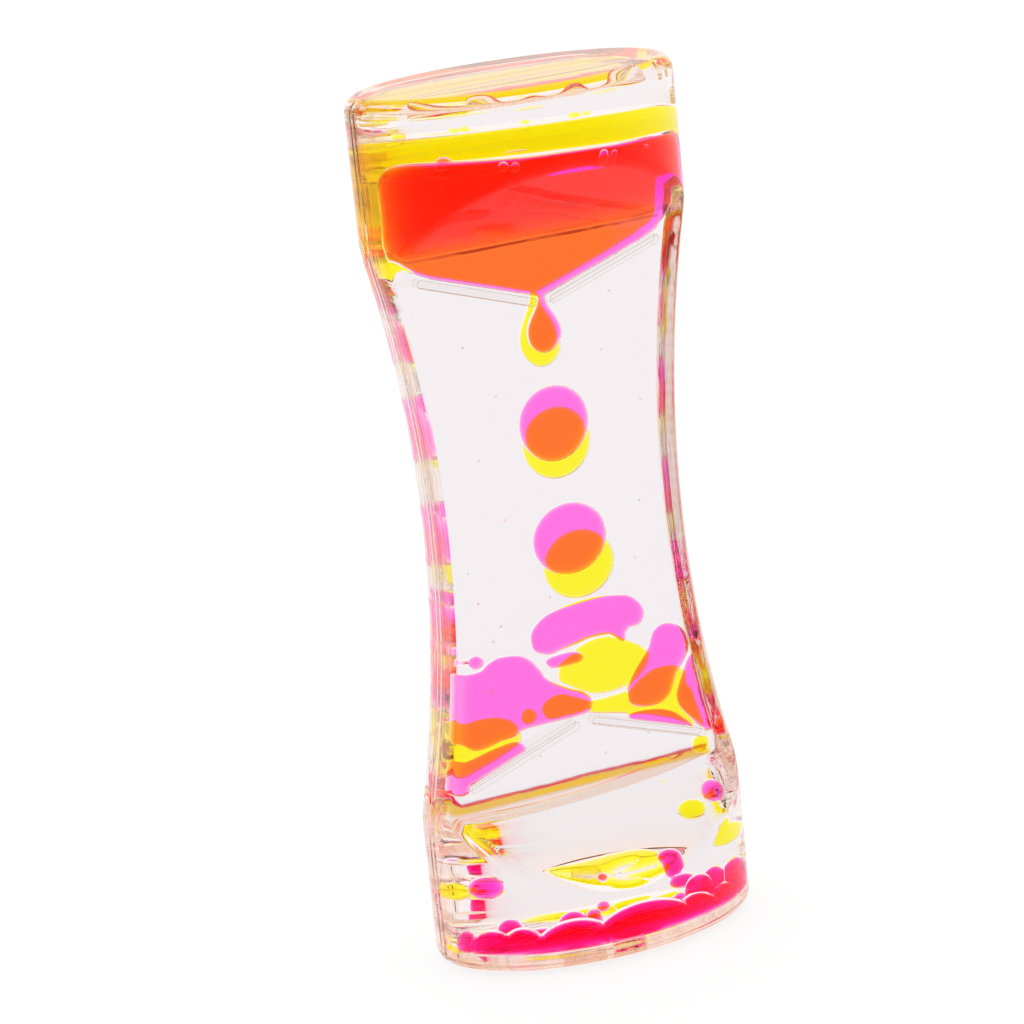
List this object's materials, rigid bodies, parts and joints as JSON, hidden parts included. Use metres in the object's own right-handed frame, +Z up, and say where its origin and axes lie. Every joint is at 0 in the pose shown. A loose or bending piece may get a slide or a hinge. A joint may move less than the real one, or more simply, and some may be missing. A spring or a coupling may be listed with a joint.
{
  "type": "liquid motion timer",
  "caption": "Clear hourglass-shaped liquid motion timer: pink and yellow oil drip through baffles in two flat sealed chambers; stands on either end.",
  "frame": {"origin": "centre of the flat base", "axes": "+Z up along the height, +X to the right, -Y towards the front chamber"},
  "size_m": [0.0526, 0.0348, 0.135],
  "materials": {
    "clear_case": "clear polished",
    "clear_divider": "clear polished",
    "clear_baffle": "clear polished",
    "clear_plug": "clear, cemented in",
    "carrier_liquid": "clear liquid",
    "pink_oil": "dyed oil, clear",
    "yellow_oil": "dyed oil, clear"
  },
  "bodies": {
    "case": {"front_shell": "clear_case", "rear_shell": "clear_case", "divider_plate": "clear_divider", "front_fill_plug": "clear_plug", "rear_fill_plug": "clear_plug", "front_upper_left_baffle": "clear_baffle", "front_upper_right_baffle": "clear_baffle", "front_lower_left_baffle": "clear_baffle", "front_lower_right_baffle": "clear_baffle", "rear_upper_left_baffle": "clear_baffle", "rear_upper_right_baffle": "clear_baffle", "rear_lower_left_baffle": "clear_baffle", "rear_lower_right_baffle": "clear_baffle", "front_carrier_liquid": "carrier_liquid", "rear_carrier_liquid": "carrier_liquid", "pink_upper_pool": "pink_oil", "pink_long_drop": "pink_oil", "pink_oval_drop": "pink_oil", "pink_left_mass": "pink_oil", "pink_left_wedge": "pink_oil", "pink_small_left_drop": "pink_oil", "pink_right_mass": "pink_oil", "pink_right_wedge": "pink_oil", "pink_right_sliver": "pink_oil", "pink_lower_pool": "pink_oil", "yellow_upper_pool": "yellow_oil", "yellow_landed_drop": "yellow_oil", "yellow_left_mass": "yellow_oil", "yellow_small_drop": "yellow_oil", "yellow_right_mass": "yellow_oil", "yellow_lower_pool": "yellow_oil"},
    "pink_upper_drop": {"pink_upper_drop": "pink_oil"},
    "pink_lower_drop": {"pink_lower_drop": "pink_oil"},
    "yellow_upper_drop": {"yellow_upper_drop": "yellow_oil"},
    "yellow_lower_drop": {"yellow_lower_drop": "yellow_oil"},
    "pink_left_loose_drop": {"pink_left_loose_drop": "pink_oil"},
    "pink_right_loose_drop": {"pink_right_loose_drop": "pink_oil"},
    "yellow_upper_loose_drop": {"yellow_upper_loose_drop": "yellow_oil"},
    "yellow_lower_loose_drop": {"yellow_lower_loose_drop": "yellow_oil"},
    "yellow_gap_drop": {"yellow_gap_drop": "yellow_oil"}
  },
  "joints": [
    {"name": "pink_upper_drop_fall", "type": "slide", "parent": "case", "child": "pink_upper_drop", "axis": [0, 0, -1], "range_m": [-0.0046, 0.0038]},
    {"name": "pink_lower_drop_fall", "type": "slide", "parent": "case", "child": "pink_lower_drop", "axis": [0, 0, -1], "range_m": [-0.0046, 0.0038]},
    {"name": "yellow_upper_drop_fall", "type": "slide", "parent": "case", "child": "yellow_upper_drop", "axis": [0, 0, -1], "range_m": [-0.006, 0.0062]},
    {"name": "yellow_lower_drop_fall", "type": "slide", "parent": "case", "child": "yellow_lower_drop", "axis": [0, 0, -1], "range_m": [-0.006, 0.0062]},
    {"name": "pink_left_loose_drop_fall", "type": "slide", "parent": "case", "child": "pink_left_loose_drop", "axis": [0, 0, -1], "range_m": [-0.003, 0.004]},
    {"name": "pink_right_loose_drop_fall", "type": "slide", "parent": "case", "child": "pink_right_loose_drop", "axis": [0, 0, -1], "range_m": [-0.0005, 0.0062]},
    {"name": "yellow_upper_loose_drop_fall", "type": "slide", "parent": "case", "child": "yellow_upper_loose_drop", "axis": [0, 0, -1], "range_m": [-0.002, 0.0055]},
    {"name": "yellow_lower_loose_drop_fall", "type": "slide", "parent": "case", "child": "yellow_lower_loose_drop", "axis": [0, 0, -1], "range_m": [-0.002, 0.004]},
    {"name": "yellow_gap_drop_fall", "type": "slide", "parent": "case", "child": "yellow_gap_drop", "axis": [0, 0, -1], "range_m": [-0.0003, 0.004]}
  ],
  "couplings": [
    {"joint": "pink_lower_drop_fall", "follows": "pink_upper_drop_fall", "ratio": 1},
    {"joint": "yellow_lower_drop_fall", "follows": "yellow_upper_drop_fall", "ratio": 1}
  ]
}
